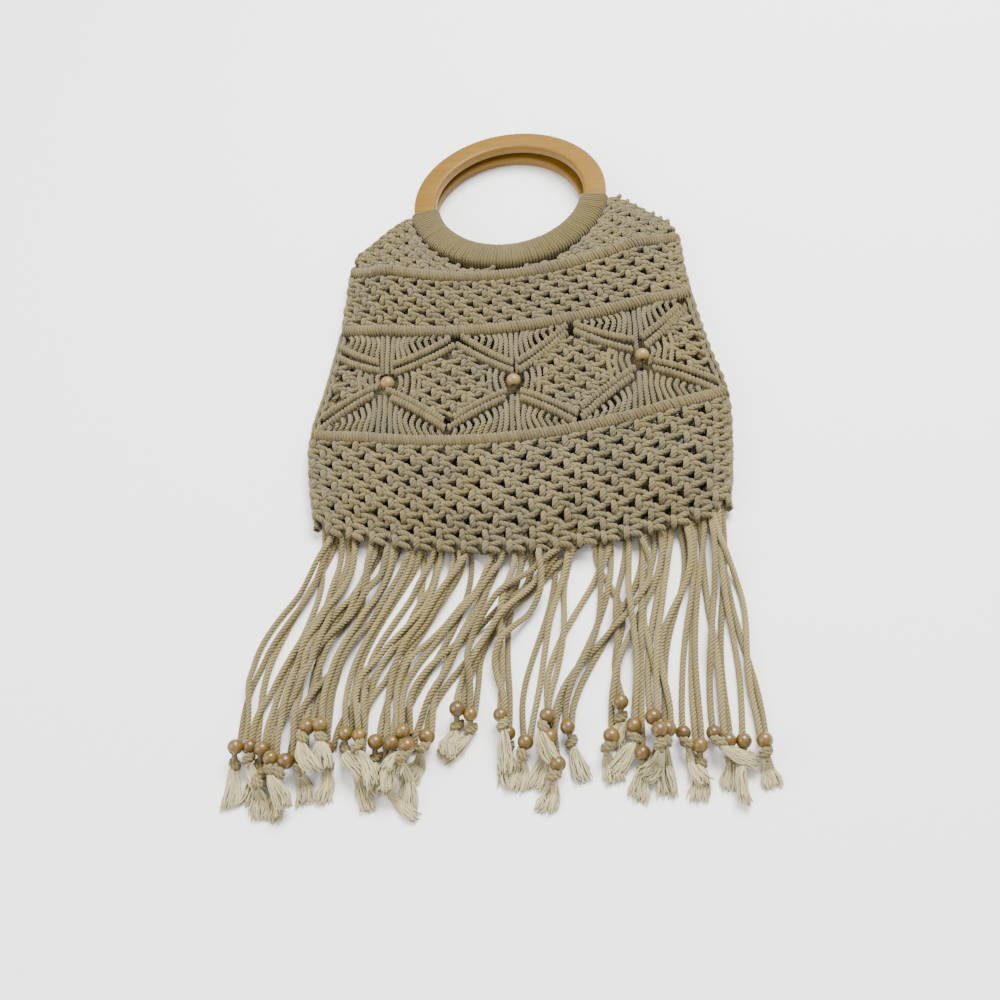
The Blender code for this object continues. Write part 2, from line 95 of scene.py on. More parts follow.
def rowAt(down):
    # smooth curve through the table's rows, for any array of depths
    down = np.asarray(down, float)
    last = len(rowTable) - 1
    index = np.clip(np.searchsorted(rowTable[:, 0], down, side="right") - 1, 0, last - 1)
    here, there = rowTable[index], rowTable[index + 1]
    before, after = rowTable[np.maximum(index - 1, 0)], rowTable[np.minimum(index + 2, last)]
    span = there[..., :1] - here[..., :1]
    share = (down[..., None] - here[..., :1]) / span
    start = (there - before) / (there[..., :1] - before[..., :1]) * span
    end = (after - here) / (after[..., :1] - here[..., :1]) * span
    return (here * (2 * share**3 - 3 * share**2 + 1) + start * (share**3 - 2 * share**2 + share)
            + there * (3 * share**2 - 2 * share**3) + end * (share**3 - share**2))


def rowPlan(t, down):
    inside = np.minimum(down, 1.0)
    row = rowAt(inside)
    x = row[..., 1] * pouch["width"] * t
    y = pouch["mouthY"] - down * pouch["depth"] + pouch["width"] * (row[..., 2] * t * t + row[..., 3] * t)
    return x, y, row[..., 4]


def edgeShare(t, down):
    # 0 in the flat middle, 1 at the side seams and the closed bottom
    side = smoothstep((np.abs(t) - 0.70) / 0.30)
    bottom = smoothstep((down - 0.90) / 0.10)
    return 1 - (1 - side) * (1 - bottom)


def frontPatch(t, down):
    # middle of the front net's thickness
    t, down = np.broadcast_arrays(t, down)
    x, y, puff = rowPlan(t, down)
    z = pouch["seam"] + puff * pouch["mouthRise"] * (1 - edgeShare(t, down)) + pouch["frontWall"] * 0.5
    return stack(x, y, z)


def backPatch(t, down):
    t, down = np.broadcast_arrays(t, down)
    x, y, puff = rowPlan(t, down)
    return stack(x, y, mix(pouch["backWall"], pouch["seam"], edgeShare(t, down)) - pouch["backWall"] * 0.5)


def ringHeight(low, slope, y):
    return low + slope * (76.0 - y)


rearRing = {"low": 4.1, "slope": 0.033857, "shift": -3.6}
frontRing = {"low": 16.1, "slope": 0.088307, "shift": 0.0}

# The mouth's run on each side: middle X, bulge of the shoulder, its ring, lift over the seam
frontMouth = (0.0, 1.3, frontRing, 5.0)
backMouth = (pouch["backShift"], 4.0, rearRing, -5.0)


def mouthEdge(t, centreX, spread, ring, lift):
    # round the wrap, then straight out along the shoulder
    side = np.sign(t)
    angle = np.clip(np.abs(t) / pouch["shoulderStart"], 0, 1) * pouch["wrapAngle"]
    share = np.clip((np.abs(t) - pouch["shoulderStart"]) / (1 - pouch["shoulderStart"]), 0, 1)
    arcX, arcY = centreX + side * 79.5 * np.sin(angle), -79.5 * np.cos(angle)
    cornerX, cornerY = side * pouch["shoulderHalf"] * pouch["width"], -pouch["shoulderDrop"] * pouch["width"]
    bulge = spread * np.sin(math.pi * np.minimum(share, 0.75))
    x = mix(arcX, cornerX, share) + side * bulge / 2
    y = mix(arcY, cornerY, share) + bulge
    corner = smoothstep(share)
    z = mix(ringHeight(ring["low"], ring["slope"], y), pouch["seam"] + lift, corner)
    return stack(x, y, z)


def shoulder(t, height, patch, mouth):
    # height in mm above the first ridge, up to the mouth's edge
    t, height = np.broadcast_arrays(t, height)
    ridge = patch(t, np.full(t.shape, pouch["ridges"][0]))
    edge = mouthEdge(t, *mouth)
    full = np.linalg.norm(edge - ridge, axis=-1, keepdims=True)
    return ridge + (edge - ridge) * (height[..., None] / np.maximum(full, 3.0))


def frontShoulder(t, height):
    return shoulder(t, height, frontPatch, frontMouth)


def backShoulder(t, height):
    return shoulder(t, height, backPatch, backMouth)


def frontAt(x, y):
    # the point of the front net's middle above a plan position
    x, y = np.broadcast_arrays(np.asarray(x, float), np.asarray(y, float))
    down = np.clip((pouch["mouthY"] - y) / pouch["depth"], pouch["ridges"][0], 1.0)
    for step in range(12):
        row = rowAt(down)
        t = x / (row[..., 1] * pouch["width"])
        curve = pouch["width"] * (row[..., 2] * t * t + row[..., 3] * t)
        down = np.clip((pouch["mouthY"] + curve - y) / pouch["depth"], pouch["ridges"][0], 1.0)
    return frontPatch(t, down)


# Tube builder: every cord, wrap and yarn is swept here
def newParts():
    return {"points": [], "faces": [], "uvs": [], "shades": [], "count": 0}


def addRings(parts, rings, lengths, shade, closed, turned=None):
    # rings: tubes x rings x sides x 3, joined into quads with a cord map of (mm along, share round)
    tubes, steps, sides = rings.shape[:3]
    spans = steps if closed else steps - 1
    k = np.arange(spans)[:, None]
    s = np.arange(sides)[None, :]
    kNext, sNext = (k + 1) % steps, (s + 1) % sides
    corners = np.stack([k * sides + s, k * sides + sNext, kNext * sides + sNext, kNext * sides + s], axis=-1)
    corners = corners.reshape(-1, 4)
    faces = corners[None] + (np.arange(tubes) * steps * sides)[:, None, None] + parts["count"]
    around = np.stack([s, s + 1, s + 1, s], axis=-1) / sides + 0 * k[..., None]
    along = np.concatenate([lengths, lengths[:, -1:] + 2.0], axis=1)
    kMap = np.stack([k, k, k + 1, k + 1], axis=-1) + 0 * s[..., None]
    u = along[:, kMap.reshape(-1)].reshape(tubes, -1, 4)
    v = np.broadcast_to(around.reshape(1, -1, 4), u.shape)
    if turned is not None:
        v = v + np.concatenate([turned, turned[:, -1:]], axis=1)[:, kMap.reshape(-1)].reshape(u.shape)
    parts["points"].append(rings.reshape(-1, 3))
    parts["faces"].append(faces.reshape(-1, 4))
    parts["uvs"].append(np.stack([u, v], axis=-1).reshape(-1, 2))
    parts["shades"].append(np.repeat(shade, steps * sides))
    parts["count"] += tubes * steps * sides


def sweep(parts, paths, radius, sides, closed=False, lobes=None, lay=0.0, spread=1.0, guide=None, shade=None):
    # paths: tubes x points x 3 in mm. lobes: radius factor of each side, which turn once each lay
    tubes, steps = paths.shape[:2]
    if closed:
        ahead = unit(np.roll(paths, -1, axis=1) - np.roll(paths, 1, axis=1))
    else:
        ahead = unit(np.gradient(paths, axis=1))
    if guide is None:
        guide = np.where(np.abs(ahead[:, :1, 2:3]) < 0.8, [[[0, 0, 1.0]]], [[[1.0, 0, 0]]])[:, 0]
    normal = np.zeros_like(paths)
    current = np.broadcast_to(guide, (tubes, 3))
    for k in range(steps):
        current = unit(current - (current * ahead[:, k]).sum(-1, keepdims=True) * ahead[:, k])
        normal[:, k] = current
    binormal = np.cross(ahead, normal)
    gaps = np.linalg.norm(np.diff(paths, axis=1), axis=-1)
    lengths = np.concatenate([np.zeros((tubes, 1)), np.cumsum(gaps, axis=1)], axis=1)
    lengths = lengths + rng.uniform(0, 20, (tubes, 1))
    angle = np.linspace(0, 2 * math.pi, sides, endpoint=False)[None, None, :]
    if lay:
        angle = angle + (lengths / lay * 2 * math.pi)[..., None]
    factor = np.ones(sides) if lobes is None else np.asarray(lobes)
    radius = np.broadcast_to(radius, (tubes, steps))[..., None] * factor
    rings = (paths[:, :, None] + (radius * np.cos(angle))[..., None] * normal[:, :, None]
             + (radius * np.sin(angle) * spread)[..., None] * binormal[:, :, None])
    if shade is None:
        shade = rng.uniform(0, 1, tubes)
    addRings(parts, rings, lengths, shade, closed, lengths / lay if lay else None)


def smoothPath(points, count):
    # Catmull-Rom through the points, resampled evenly; points: paths x control points x 3
    points = np.asarray(points, float)
    if points.ndim == 2:
        points = points[None]
    padded = np.concatenate([2 * points[:, :1] - points[:, 1:2], points, 2 * points[:, -1:] - points[:, -2:-1]], 1)
    where = np.linspace(0, points.shape[1] - 1, count)
    i = np.minimum(where.astype(int), points.shape[1] - 2)
    s = (where - i)[None, :, None]
    a, b, c, d = (padded[:, i + k] for k in range(4))
    return 0.5 * (2 * b + (c - a) * s + (2 * a - 5 * b + 4 * c - d) * s**2 + (3 * b - a - 3 * c + d) * s**3)


def roundEnds(count):
    # radius profile of a grain: full in the middle, closed at both ends
    profile = np.ones(count)
    profile[0] = profile[-1] = 0.05
    profile[1] = profile[-2] = 0.78
    return profile


def buildPiece(name, parts, material, nodes=()):
    points = (np.concatenate(parts["points"]) + origin) * mm
    faces = np.concatenate(parts["faces"])
    mesh = bpy.data.meshes.new(name)
    mesh.vertices.add(len(points))
    mesh.vertices.foreach_set("co", points.astype(np.float32).ravel())
    mesh.loops.add(faces.size)
    mesh.loops.foreach_set("vertex_index", faces.astype(np.int32).ravel())
    mesh.polygons.add(len(faces))
    mesh.polygons.foreach_set("loop_start", np.arange(0, faces.size, 4, dtype=np.int32))
    mesh.polygons.foreach_set("use_smooth", np.ones(len(faces), bool))
    mesh.update(calc_edges=True)
    cordMap = mesh.uv_layers.new(name="cordMap")
    cordMap.data.foreach_set("uv", np.concatenate(parts["uvs"]).astype(np.float32).ravel())
    shade = mesh.attributes.new("shade", "FLOAT", "POINT")
    shade.data.foreach_set("value", np.concatenate(parts["shades"]).astype(np.float32))
    mesh.materials.append(material)
    piece = bpy.data.objects.new(name, mesh)
    bpy.context.scene.collection.objects.link(piece)
    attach(piece, "root")
    if nodes:
        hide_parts(*nodes)
    print("piece:", name, 2 * len(faces), "triangles")
    return piece


# Materials
def toLinear(hexColour):
    values = [int(hexColour[i:i + 2], 16) / 255 for i in (1, 3, 5)]
    return [v / 12.92 if v <= 0.04045 else ((v + 0.055) / 1.055) ** 2.4 for v in values] + [1.0]


def addNode(tree, kind, settings=None, **links):
    node = tree.nodes.new(kind)
    for key, value in (settings or {}).items():
        if hasattr(node, key) and not key[:1].isupper():
            setattr(node, key, value)
        else:
            node.inputs[int(key) if key.isdigit() else key].default_value = value
    for key, source in links.items():
        numbered = key[0] == "i" and key[1:].isdigit()
        tree.links.new(source, node.inputs[int(key[1:]) if numbered else key.replace("_", " ")])
    return node


def setInputs(shader, values):
    for key, value in values.items():
        shader.inputs[key].default_value = value


def newMaterial(name):
    material = bpy.data.materials.new(name)
    material.use_nodes = True
    tree = material.node_tree
    return material, tree, tree.nodes["Principled BSDF"]


def makeCotton(name, look):
    # Spun cotton cord laid from several yarns: fine slanting grooves, bumped and darkened with painted shade, and a
    # soft, fuzzy, matt surface
    material, tree, shader = newMaterial(name)
    uv = addNode(tree, "ShaderNodeUVMap", {"uv_map": "cordMap"})
    turn = addNode(tree, "ShaderNodeVectorMath", {"operation": "DOT_PRODUCT", "1": (
        -2 * math.pi * look["yarns"] / look["lay"], 2 * math.pi * look["yarns"], 0.0)}, i0=uv.outputs["UV"])
    wave = addNode(tree, "ShaderNodeMath", {"operation": "SINE"}, i0=turn.outputs["Value"])
    coords = addNode(tree, "ShaderNodeTexCoord")
    fibre = addNode(tree, "ShaderNodeTexNoise", {"Scale": 900.0, "Detail": 2.0}, Vector=coords.outputs["Object"])
    patch = addNode(tree, "ShaderNodeTexNoise", {"Scale": 34.0, "Detail": 3.0}, Vector=coords.outputs["Object"])
    shade = addNode(tree, "ShaderNodeAttribute", {"attribute_name": "shade"})
    # this node is 0 in the valleys between the yarns and 1 on their crowns; it drives the bump and the painted shade
    # in the grooves
    shadedGroove = addNode(tree, "ShaderNodeMapRange", {"From Min": -1.0, "From Max": 0.3}, Value=wave.outputs["Value"])
    tone = addNode(tree, "ShaderNodeMix", {"data_type": "RGBA", "6": toLinear(look["warm"]),
                                           "7": toLinear(look["cool"])},
                   i0=patch.outputs["Fac"])
    light = addNode(tree, "ShaderNodeMapRange", {"From Max": 1.0, "To Min": look["dark"], "To Max": look["light"]},
                    Value=shade.outputs["Fac"])
    # painted shade: the base colour darkens in the valleys between the yarns, down to the look's factor at a
    # groove's bottom
    paintedGrooveShade = addNode(tree, "ShaderNodeMapRange", {"To Min": look["shadedGroove"], "To Max": 1.0},
                   Value=shadedGroove.outputs["Result"])
    speck = addNode(tree, "ShaderNodeMapRange", {"From Min": 0.3, "From Max": 0.7, "To Min": 0.88, "To Max": 1.1},
                    Value=fibre.outputs["Fac"])
    product = addNode(tree, "ShaderNodeMath", {"operation": "MULTIPLY"}, i0=light.outputs["Result"],
                      i1=paintedGrooveShade.outputs["Result"])
    product = addNode(tree, "ShaderNodeMath", {"operation": "MULTIPLY"}, i0=product.outputs["Value"],
                      i1=speck.outputs["Result"])
    colour = addNode(tree, "ShaderNodeVectorMath", {"operation": "SCALE"}, i0=tone.outputs[2],
                     Scale=product.outputs["Value"])
    tree.links.new(colour.outputs["Vector"], shader.inputs["Base Color"])
    height = addNode(tree, "ShaderNodeMath", {"operation": "MULTIPLY_ADD", "1": 0.25}, i0=fibre.outputs["Fac"],
                     i2=shadedGroove.outputs["Result"])
    bump = addNode(tree, "ShaderNodeBump", {"Strength": look["bump"], "Distance": 0.0005},
                   Height=height.outputs["Value"])
    tree.links.new(bump.outputs["Normal"], shader.inputs["Normal"])
    setInputs(shader, {"Roughness": 0.86, "IOR": 1.46, "Sheen Weight": 0.25, "Sheen Roughness": 0.5,
                       "Specular IOR Level": 0.25})
    return material


def makeWood(name, look):
    # Turned and sanded hardwood under clear varnish: long fine grain, a few darker streaks, sharp reflections
    material, tree, shader = newMaterial(name)
    coords = addNode(tree, "ShaderNodeTexCoord")
    stretched = addNode(tree, "ShaderNodeMapping", {"Scale": look["stretch"]}, Vector=coords.outputs["Object"])
    warp = addNode(tree, "ShaderNodeTexNoise", {"Scale": look["bend"], "Detail": 2.0},
                   Vector=stretched.outputs["Vector"])
    grain = addNode(tree, "ShaderNodeTexNoise", {"Scale": look["grain"], "Detail": 5.0, "Roughness": 0.65,
                                                 "Distortion": 0.6},
                    Vector=stretched.outputs["Vector"])
    shade = addNode(tree, "ShaderNodeAttribute", {"attribute_name": "shade"})
    spread = addNode(tree, "ShaderNodeMapRange", {"From Min": 0.32, "From Max": 0.68}, Value=grain.outputs["Fac"])
    base = addNode(tree, "ShaderNodeMix", {"data_type": "RGBA", "6": toLinear(look["dark"]),
                                           "7": toLinear(look["pale"])},
                   i0=spread.outputs["Result"])
    tint = addNode(tree, "ShaderNodeMix", {"data_type": "RGBA", "blend_type": "MIX", "7": toLinear(look["tint"])},
                   i6=base.outputs[2])
    amount = addNode(tree, "ShaderNodeMath", {"operation": "MULTIPLY", "1": look["tintShare"]},
                     i0=shade.outputs["Fac"])
    tree.links.new(amount.outputs["Value"], tint.inputs[0])
    patch = addNode(tree, "ShaderNodeMapRange", {"From Min": 0.3, "From Max": 0.7, "To Min": 0.9, "To Max": 1.08},
                    Value=warp.outputs["Fac"])
    colour = addNode(tree, "ShaderNodeVectorMath", {"operation": "SCALE"}, i0=tint.outputs[2],
                     Scale=patch.outputs["Result"])
    tree.links.new(colour.outputs["Vector"], shader.inputs["Base Color"])
    bump = addNode(tree, "ShaderNodeBump", {"Strength": 0.12, "Distance": 0.0003}, Height=grain.outputs["Fac"])
    tree.links.new(bump.outputs["Normal"], shader.inputs["Normal"])
    setInputs(shader, {"Roughness": look["roughness"], "IOR": 1.5, "Specular IOR Level": look["shine"],
                       "Coat Weight": look["coat"], "Coat Roughness": look["coatRoughness"]})
    return material


# in each look, the colour's factor at the bottom of a groove between the yarns is painted shade
cottonLook = {"warm": "#6e5f30", "cool": "#5f5944", "dark": 0.84, "light": 1.14, "shadedGroove": 0.66, "lay": 10.0,
              "yarns": 4.0, "bump": 0.7}
netCotton = makeCotton("netCottonCord", cottonLook)
ridgeCotton = makeCotton("ridgeCottonCord", dict(cottonLook, warm="#69592b", cool="#5b543b", shadedGroove=0.78, bump=0.5))
wrapCotton = makeCotton("wrapCottonCord", dict(cottonLook, warm="#5b4e21", cool="#554a28", dark=0.92, light=1.07,
                                               shadedGroove=0.86, bump=0.35))
fringeCotton = makeCotton("fringeCottonCord", dict(cottonLook, warm="#867444", cool="#7b714c", dark=0.82, light=1.18,
                                                   shadedGroove=0.6))
tuftCotton = makeCotton("unravelledCotton", dict(cottonLook, warm="#c4b57e", cool="#b9b08c", dark=0.8, light=1.2,
                                                 lay=3.0, yarns=3.0, shadedGroove=0.8))
backCotton = makeCotton("backCottonCord", dict(cottonLook, warm="#6c5f39", cool="#625a42"))
ringWood = makeWood("varnishedRingWood", {"dark": "#664803", "pale": "#745305", "tint": "#604304", "tintShare": 0.0,
    "stretch": (0.12, 1.0, 1.0), "bend": 60.0, "grain": 420.0, "roughness": 0.5, "shine": 0.3, "coat": 0.08,
    "coatRoughness": 0.25})
starWood = makeWood("satinBeadWood", {"dark": "#6f5a30", "pale": "#877045", "tint": "#695126", "tintShare": 0.3,
    "stretch": (1.0, 0.2, 1.0), "bend": 200.0, "grain": 500.0, "roughness": 0.38, "shine": 0.4, "coat": 0.25,
    "coatRoughness": 0.2})
fringeWood = makeWood("glossBeadWood", {"dark": "#553f14", "pale": "#745b24", "tint": "#4c360f", "tintShare": 0.8,
    "stretch": (1.0, 0.3, 1.0), "bend": 160.0, "grain": 420.0, "roughness": 0.36, "shine": 0.4, "coat": 0.45,
    "coatRoughness": 0.08})
print("stage: materials")

# Net of square knots. Each knot: a loop up one side, two slanting bars with their legs, two core cords
# across and down in shares of a knot's own cell, out in mm from the net's middle
knotStrands = {
    "loop": ((-0.375, -0.54, -1.4), (-0.37, -0.38, 0.9), (-0.36, -0.13, 2.2), (-0.355, 0.12, 2.2),
             (-0.365, 0.36, 1.0), (-0.375, 0.52, -1.4)),
    "upper": ((-0.27, -0.06, -1.0), (-0.19, -0.13, 0.9), (-0.06, -0.19, 1.8), (0.08, -0.24, 1.8), (0.20, -0.30, 1.1),
              (0.28, -0.35, -0.9)),
    "lower": ((-0.27, 0.12, -1.0), (-0.19, 0.15, 0.9), (-0.05, 0.21, 1.8), (0.09, 0.28, 1.7), (0.20, 0.36, 1.0),
              (0.28, 0.43, -0.9)),
    "rising": ((0.20, -0.16, -1.1), (0.31, -0.33, 0.6), (0.41, -0.49, 1.2), (0.47, -0.68, 0.7), (0.52, -0.92, -1.5)),
    "falling": ((0.20, 0.28, -1.2), (0.32, 0.40, 0.5), (0.41, 0.54, 1.1), (0.47, 0.72, 0.5), (0.52, 0.96, -1.6)),
    "leftCore": ((-0.50, -0.95, -2.4), (-0.22, -0.5, -1.6), (-0.10, 0.0, -1.4), (-0.22, 0.5, -1.6),
                 (-0.50, 0.95, -2.4)),
    "rightCore": ((0.50, -0.95, -2.4), (0.22, -0.5, -1.6), (0.10, 0.0, -1.4), (0.22, 0.5, -1.6), (0.50, 0.95, -2.4)),
}
net = {"coreShare": 0.95, "jitter": 0.022, "tilt": 0.05}
fullKnot = ("loop", "upper", "lower", "rising", "falling", "leftCore", "rightCore")


def surfaceFrame(patch, u, v, stepU, stepV, outward):
    # the patch's normal, turned outward, and its point
    across = patch(u + stepU, v) - patch(u - stepU, v)
    down = patch(u, v + stepV) - patch(u, v - stepV)
    normal = unit(np.cross(down, across))
    return normal * np.sign(normal[..., 2:] * outward), patch(u, v)


def addKnots(parts, patch, centres, pitchU, pitchV, cord, outward=1.0, flatten=1.0, steps=8, sides=7, limit=None,
             names=fullKnot):
    # centres: knots x 2, in the patch's own coordinates; each strand is bent with the surface
    centres = np.asarray(centres, float)
    total = len(centres)
    shade = rng.uniform(0, 1, total)
    swing = rng.normal(0, net["tilt"], (total, 1))
    for name in names:
        core = name.endswith("Core")
        template = np.array(knotStrands[name])
        local = np.repeat(template[None], total, axis=0)
        local[..., :2] += rng.normal(0, net["jitter"], (total, 1, 2)) + rng.normal(0, net["jitter"] * 0.4,
                                                                                   (total, len(template), 2))
        local[..., 2] += rng.normal(0, 0.25, (total, 1))
        local[..., 0] += swing * local[..., 1]
        count = steps - 2 if core else steps
        local = smoothPath(local, count)
        u = centres[:, :1] + local[..., 0] * pitchU
        v = centres[:, 1:] + local[..., 1] * pitchV
        if limit:
            u = np.clip(u, -limit, limit)
        normal, base = surfaceFrame(patch, u, v, pitchU * 0.1, pitchV * 0.1, outward)
        paths = base + normal * (local[..., 2:] * flatten)
        if outward < 0:
            paths[..., 2] = np.maximum(paths[..., 2], cord * 1.1)
        radius = cord * (net["coreShare"] if core else 1.0) * rng.normal(1, 0.04, (total, 1))
        radius = radius * (np.ones(count) if core else roundEnds(count))[None]
        sweep(parts, paths, radius, sides - 2 if core else sides,
              shade=np.clip(shade + rng.normal(0, 0.2, total), 0, 1))


def bandCentres(start, end, rows, shift=0):
    # alternating rows of knots; every second row sits between the groups and has a knot at each edge
    groups = pouch["groups"]
    centres, pitch = [], (end - start) / rows
    for row in range(rows):
        v = start + (row + 0.5) * pitch
        if (row + shift) % 2 == 0:
            columns = (2 * np.arange(groups) + 1) / groups - 1
        else:
            columns = 2 * np.arange(0, groups + 1) / groups - 1
            columns[0] += 0.16 * 2 / groups
            columns[-1] -= 0.24 * 2 / groups
        centres += [(u, v) for u in columns]
    return centres, pitch


def addEdges(parts, patch, start, end, rows, cord, outward=1.0):
    # two outer cords run down each side between the knots of every second row
    v = np.linspace(start, end, rows * 3)
    for side in (-1, 1):
        for inset in (0.0, 0.022):
            u = side * (1.004 - inset) + 0.004 * np.sin(np.arange(len(v)) * 2.1 + inset * 90)
            normal, base = surfaceFrame(patch, u[None], v[None], 0.01, (end - start) / rows * 0.2, outward)
            bob = 0.8 * np.sin(np.arange(len(v)) * 2.1)[None, :, None]
            path = base + normal * bob
            path[..., 2] = np.maximum(path[..., 2], cord)
            sweep(parts, path, cord * 0.95 * roundEnds(len(v))[None], 8)


def shoulderCentres(pitch, start, base, mouth):
    # rows above the first ridge, as far as the mouth's edge allows
    centres, groups = [], pouch["groups"]
    for row in range(8):
        height = (row + start) * pitch
        columns = (2 * np.arange(groups) + 1 if row % 2 else 2 * np.arange(0, groups + 1)) / groups - 1
        columns = columns[np.abs(columns) < 0.99]
        edge = mouthEdge(columns, *mouth)
        room = np.linalg.norm(edge - base(columns, np.full(len(columns), pouch["ridges"][0])), axis=-1)
        margin = pitch * mix(0.25, 0.95, smoothstep((np.abs(columns) - 0.66) / 0.16))
        centres += [(u, height) for u in columns[height < room - margin]]
    return centres


def addMouthEdge(parts, mouth, insets, cord, outward):
    # cords laid along the slope from each shoulder up to the handle
    for side in (-1, 1):
        for inset in insets:
            t = side * np.linspace(0.56, 1.0, 26)
            edge = mouthEdge(t, *mouth)
            edge[:, 1] -= inset
            edge[:, 2] += outward * (1.0 + 0.5 * np.sin(np.arange(26) * 1.9 + inset) - 0.3 * inset)
            edge[:, 2] = np.maximum(edge[:, 2], cord * 1.1)
            sweep(parts, smoothPath(edge, 40), cord * roundEnds(40)[None], 8)


# cords are radii in mm, pitches are in mm, ridgeHalf is a share of the pouch's depth
frontNet = {"upperRows": 5, "upperCord": 2.05, "upperEdge": 1.6, "lowerRows": 8, "lowerCord": 2.12, "lowerEdge": 1.8,
            "lowerEdgeEnd": 0.975, "closingCord": 2.05, "closingDrop": 0.42, "ridgeHalf": 0.0165,
            "shoulderPitch": 6.6, "shoulderStart": 0.75, "shoulderCord": 1.9,
            "mouthInsets": (0.0, 2.6, 5.0), "mouthCord": 1.75}
pitchU = 2 / pouch["groups"]
firstRidge, secondRidge, thirdRidge = pouch["ridges"]
upperNet = newParts()
centres, pitchV = bandCentres(firstRidge + frontNet["ridgeHalf"], secondRidge - frontNet["ridgeHalf"],
                              frontNet["upperRows"])
addKnots(upperNet, frontPatch, centres, pitchU, pitchV, frontNet["upperCord"], limit=1.0)
addEdges(upperNet, frontPatch, firstRidge, secondRidge, 6, frontNet["upperEdge"])
centres = shoulderCentres(frontNet["shoulderPitch"], frontNet["shoulderStart"], frontPatch, frontMouth)
addKnots(upperNet, frontShoulder, centres, pitchU, -frontNet["shoulderPitch"], frontNet["shoulderCord"], limit=1.0)
addMouthEdge(upperNet, frontMouth, frontNet["mouthInsets"], frontNet["mouthCord"], 1.0)
buildPiece("upperNet", upperNet, netCotton, ("front_panel",))

lowerNet = newParts()
centres, pitchV = bandCentres(thirdRidge + frontNet["ridgeHalf"], 1.0, frontNet["lowerRows"])
addKnots(lowerNet, frontPatch, centres, pitchU, pitchV, frontNet["lowerCord"], limit=1.0)
addEdges(lowerNet, frontPatch, thirdRidge, frontNet["lowerEdgeEnd"], 8, frontNet["lowerEdge"])
closingRow = 1.0 + pitchV * frontNet["closingDrop"]
closing = [(u, closingRow) for u in 2 * np.arange(1, pouch["groups"]) / pouch["groups"] - 1]
addKnots(lowerNet, frontPatch, closing, pitchU, pitchV, frontNet["closingCord"], names=("loop", "upper", "lower"))
buildPiece("lowerNet", lowerNet, netCotton)
print("stage: front net")

# Star band: ends of the ribs in mm from the front ring's centre, each arm as two ribs
ribTable = (
    (-130, -126, -99, -148), (-131, -136, -98, -156), (-46, -132, -88, -151), (-43, -139, -87, -159),
    (-99, -170, -141, -189), (-102, -177, -143, -201), (-93, -173, -50, -205), (-89, -181, -49, -212),
    (-38, -131, 0, -160), (-42, -138, 0, -167), (40, -130, 3, -159), (40, -137, 4, -167),
    (-5, -184, -43, -203), (-6, -190, -47, -212), (5, -185, 45, -209), (5, -191, 43, -216),
    (45, -130, 88, -149), (45, -136, 86, -158), (122, -118, 93, -148), (122, -125, 95, -156),
    (87, -174, 47, -204), (85, -181, 47, -213), (100, -170, 143, -187), (99, -176, 144, -197),
)
stars = ((-91.5, -165.0), (0.5, -175.0), (91.0, -165.0))
rib = {"pitch": 2.65, "cord": 1.4, "lift": 1.9, "bow": 3.4, "middleY": -170}
# across the rib in mm, out in mm, slant along it in mm
ribLoop = np.array(((-2.1, -1.8, -1.3), (-2.0, 0.2, -1.1), (-1.2, 1.5, -0.6), (0.0, 2.0, 0.0), (1.2, 1.5, 0.6),
                    (2.0, 0.2, 1.1), (2.1, -1.8, 1.3)))
ridge = {"pitch": 2.3, "cord": 1.22, "lift": 1.7, "reach": (0.99, 0.995, 1.0)}
ridgeLoop = np.array(((-4.4, -2.2, -0.9), (-3.9, 0.2, -0.8), (-2.3, 2.0, -0.5), (0.2, 2.6, 0.0), (2.5, 1.9, 0.6),
                      (4.0, 0.0, 1.0), (4.9, -2.2, 1.3)))


def addLoops(parts, line, loop, pitch, cord, lift, lean=1.0):
    # half loops of cord laid side by side over a carrier that follows the line (points x 3)
    gaps = np.linalg.norm(np.diff(line, axis=0), axis=-1)
    along = np.concatenate([[0], np.cumsum(gaps)])
    count = max(int(along[-1] / pitch), 2)
    where = (np.arange(count) + 0.5) / count * along[-1] + rng.normal(0, 0.08, count)
    centre = np.stack([np.interp(where, along, line[:, k]) for k in range(3)], axis=-1)
    later = np.stack([np.interp(where + 0.8, along, line[:, k]) for k in range(3)], axis=-1)
    sooner = np.stack([np.interp(where - 0.8, along, line[:, k]) for k in range(3)], axis=-1)
    ahead = unit(later - sooner)
    out = frontNormals(centre)
    side = np.cross(ahead, out)
    local = np.repeat(loop[None], count, axis=0) + rng.normal(0, 0.09, (count,) + loop.shape)
    local[:, -1, 0] += rng.uniform(0, 1.4, count)
    local = smoothPath(local, 8)
    paths = (centre[:, None] + side[:, None] * local[..., :1] + out[:, None] * (local[..., 1:2] + lift)
             + ahead[:, None] * local[..., 2:] * lean)
    sweep(parts, paths, cord * rng.normal(1, 0.04, (count, 1)) * roundEnds(8)[None], 6)


def frontNormals(points):
    x, y = points[:, 0], points[:, 1]
    dx = frontAt(x + 2, y) - frontAt(x - 2, y)
    dy = frontAt(x, y + 2) - frontAt(x, y - 2)
    normal = unit(np.cross(dx, dy))
    return normal * np.sign(normal[:, 2:])


def ribLine(entry, count=16):
    x0, y0, x1, y1 = entry
    share = np.linspace(0, 1, count)
    sign = 1 if (y0 + y1) / 2 > rib["middleY"] else -1
    x, y = mix(x0, x1, share), mix(y0, y1, share) - sign * rib["bow"] * 2 * share * (1 - share)
    return frontAt(x, y)


ribs = newParts()
for entry in ribTable:
    addLoops(ribs, ribLine(entry), ribLoop, rib["pitch"], rib["cord"], rib["lift"],
             1.0 if entry[0] < entry[2] else -1.0)
for depth, reach in zip(pouch["ridges"], ridge["reach"]):
    line = frontPatch(np.linspace(-reach, reach, 90), np.full(90, depth))
    addLoops(ribs, line, ridgeLoop, ridge["pitch"], ridge["cord"], ridge["lift"])
buildPiece("ridgesAndRibs", ribs, ridgeCotton)

